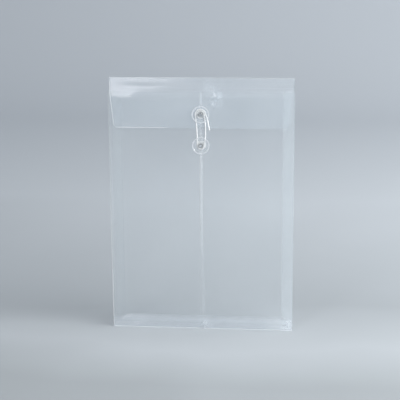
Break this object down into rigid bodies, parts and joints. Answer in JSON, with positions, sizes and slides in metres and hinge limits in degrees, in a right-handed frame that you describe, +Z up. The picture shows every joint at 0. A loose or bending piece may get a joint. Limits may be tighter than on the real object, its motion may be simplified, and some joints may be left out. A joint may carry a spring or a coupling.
{
  "type": "document bag",
  "caption": "Clear film document envelope with folded gussets on its sides and bottom, and a flap tied shut by a string wound round riveted discs.",
  "frame": {"origin": "centre of the bounding box on the floor plane, under the standing bag", "axes": "+Z up the standing bag, -Y out of its front where the flap and the buttons are, +X across its width"},
  "size_m": [0.235, 0.0272, 0.3299],
  "materials": {
    "film": "clear polypropylene film, slightly hazy",
    "button": "clear moulded plastic",
    "metal": "plated eyelet",
    "washer": "plain white plastic",
    "string": "white twisted cotton"
  },
  "bodies": {
    "back": {"back_panel": "film"},
    "right_rear": {"right_gusset_rear": "film"},
    "right_front": {"right_gusset_front": "film"},
    "front": {"front_left_panel": "film", "front_right_panel": "film", "centre_seam_lower": "film", "centre_seam_upper": "film", "lower_rivet": "metal", "lower_washer": "washer"},
    "left_rear": {"left_gusset_rear": "film"},
    "left_front": {"left_gusset_front": "film"},
    "bottom_rear": {"bottom_gusset_rear": "film"},
    "bottom_front": {"bottom_gusset_front": "film"},
    "back_crease": {"back_crease": "film"},
    "back_shoulder": {"back_shoulder": "film"},
    "flap_crease": {"flap_crease": "film"},
    "flap_shoulder": {"flap_shoulder": "film"},
    "flap": {"flap": "film", "upper_rivet": "metal", "upper_washer": "washer", "tie_string": "string"},
    "upper_button": {"upper_button": "button"},
    "lower_button": {"lower_button": "button"}
  },
  "joints": [
    {"name": "bag_expand", "type": "hinge", "parent": "back", "child": "right_rear", "pos_m": [0.1175, 0.01334, 0.15], "axis": [0, 0, 1], "range_deg": [-27, 43]},
    {"name": "right_crease_fold", "type": "hinge", "parent": "right_rear", "child": "right_front", "pos_m": [0.10316, 0.0033, 0.15], "axis": [0, 0, 1], "range_deg": [-87, 55]},
    {"name": "front_edge_fold", "type": "hinge", "parent": "right_front", "child": "front", "pos_m": [0.1175, -0.00674, 0.15], "axis": [0, 0, 1], "range_deg": [-28, 44]},
    {"name": "left_edge_fold", "type": "hinge", "parent": "back", "child": "left_rear", "pos_m": [-0.1175, 0.01334, 0.15], "axis": [0, 0, 1], "range_deg": [-44, 28]},
    {"name": "left_crease_fold", "type": "hinge", "parent": "left_rear", "child": "left_front", "pos_m": [-0.10316, 0.0033, 0.15], "axis": [0, 0, 1], "range_deg": [-55, 87]},
    {"name": "bottom_edge_fold", "type": "hinge", "parent": "back", "child": "bottom_rear", "pos_m": [0, 0.01334, 0.0005], "axis": [1, 0, 0], "range_deg": [-28, 44]},
    {"name": "bottom_crease_fold", "type": "hinge", "parent": "bottom_rear", "child": "bottom_front", "pos_m": [0, 0.0033, 0.01484], "axis": [1, 0, 0], "range_deg": [-87, 55]},
    {"name": "top_edge_fold", "type": "hinge", "parent": "back", "child": "back_crease", "pos_m": [0, 0.01334, 0.3155], "axis": [1, 0, 0], "range_deg": [-28, 44]},
    {"name": "shoulder_lift", "type": "hinge", "parent": "back_crease", "child": "back_shoulder", "pos_m": [0, 0.01014, 0.32059], "axis": [-1, 0, 0], "range_deg": [-1, 69]},
    {"name": "ridge_fold", "type": "hinge", "parent": "back_shoulder", "child": "flap_crease", "pos_m": [0, 0.0033, 0.32984], "axis": [1, 0, 0], "range_deg": [-87, 55]},
    {"name": "flap_opening", "type": "hinge", "parent": "flap_crease", "child": "flap_shoulder", "pos_m": [0, -0.00039, 0.32509], "axis": [-1, 0, 0], "range_deg": [0, 170]},
    {"name": "flap_bend", "type": "hinge", "parent": "flap_shoulder", "child": "flap", "pos_m": [0, -0.00674, 0.3155], "axis": [1, 0, 0], "range_deg": [-28, 44]},
    {"name": "upper_button_spin", "type": "hinge", "parent": "flap", "child": "upper_button", "pos_m": [0, -0.00934, 0.2855], "axis": [0, -1, 0], "continuous": true},
    {"name": "lower_button_spin", "type": "hinge", "parent": "front", "child": "lower_button", "pos_m": [0, -0.00704, 0.2455], "axis": [0, -1, 0], "continuous": true}
  ],
  "couplings": [
    {"joint": "right_crease_fold", "follows": "bag_expand", "ratio": -2},
    {"joint": "front_edge_fold", "follows": "bag_expand", "ratio": 1},
    {"joint": "left_edge_fold", "follows": "bag_expand", "ratio": -1},
    {"joint": "left_crease_fold", "follows": "bag_expand", "ratio": 2},
    {"joint": "bottom_edge_fold", "follows": "bag_expand", "ratio": 1},
    {"joint": "bottom_crease_fold", "follows": "bag_expand", "ratio": -2},
    {"joint": "top_edge_fold", "follows": "bag_expand", "ratio": 1},
    {"joint": "ridge_fold", "follows": "bag_expand", "ratio": -2},
    {"joint": "shoulder_lift", "follows": "flap_opening", "ratio": 0.4},
    {"joint": "flap_bend", "follows": "bag_expand", "ratio": 1}
  ]
}
